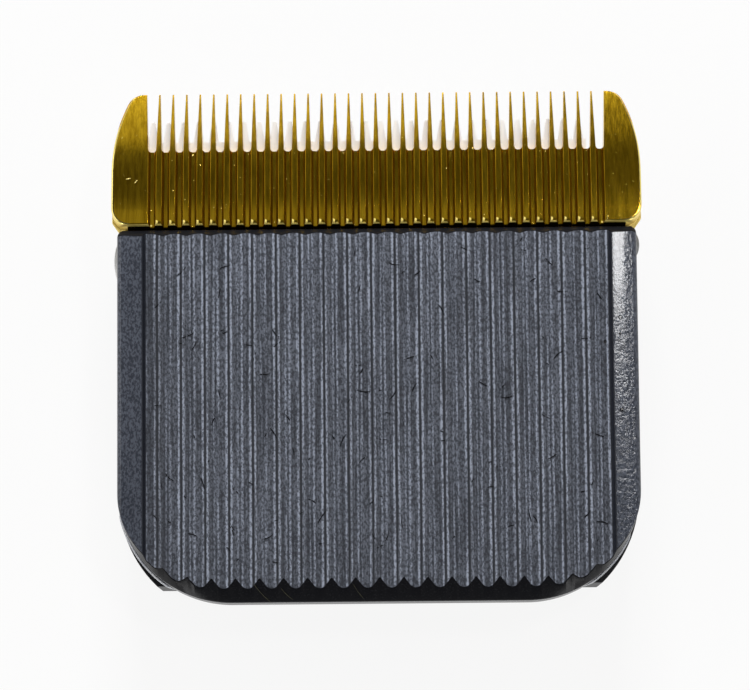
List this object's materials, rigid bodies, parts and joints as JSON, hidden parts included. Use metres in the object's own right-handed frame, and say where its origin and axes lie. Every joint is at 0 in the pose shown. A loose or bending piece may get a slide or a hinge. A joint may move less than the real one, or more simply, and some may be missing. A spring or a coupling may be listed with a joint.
{
  "type": "hair clipper blade set",
  "caption": "Clip-on hair clipper blade set: needle-tooth gold comb, sliding ceramic cutter with drive fork, ribbed black cover and rear frame.",
  "frame": {"origin": "centre of the rest plane under the set, which lies on its back", "axes": "+X along the row of teeth, +Y from the heel to the tooth tips, +Z out of the ribbed face"},
  "size_m": [0.0488, 0.0472, 0.012],
  "materials": {
    "cover_plastic": "satin, ribbed",
    "frame_plastic": "satin",
    "comb_steel": "gold hard coating over ground steel",
    "cutter_ceramic": "ground",
    "carriage_plastic": "natural acetal",
    "spring_steel": "bright",
    "screw_steel": "zinc plated"
  },
  "bodies": {
    "holder": {"front_cover": "cover_plastic", "rear_frame": "frame_plastic", "comb_blade": "comb_steel", "tension_spring": "spring_steel", "comb_screws": "screw_steel", "cover_screws": "screw_steel", "spring_screw": "screw_steel"},
    "cutter": {"cutter_blade": "cutter_ceramic", "cutter_carriage": "carriage_plastic"}
  },
  "joints": [
    {"name": "cutter_slide", "type": "slide", "parent": "holder", "child": "cutter", "axis": [1, 0, 0], "range_m": [-0.00046, 0.00234]}
  ]
}
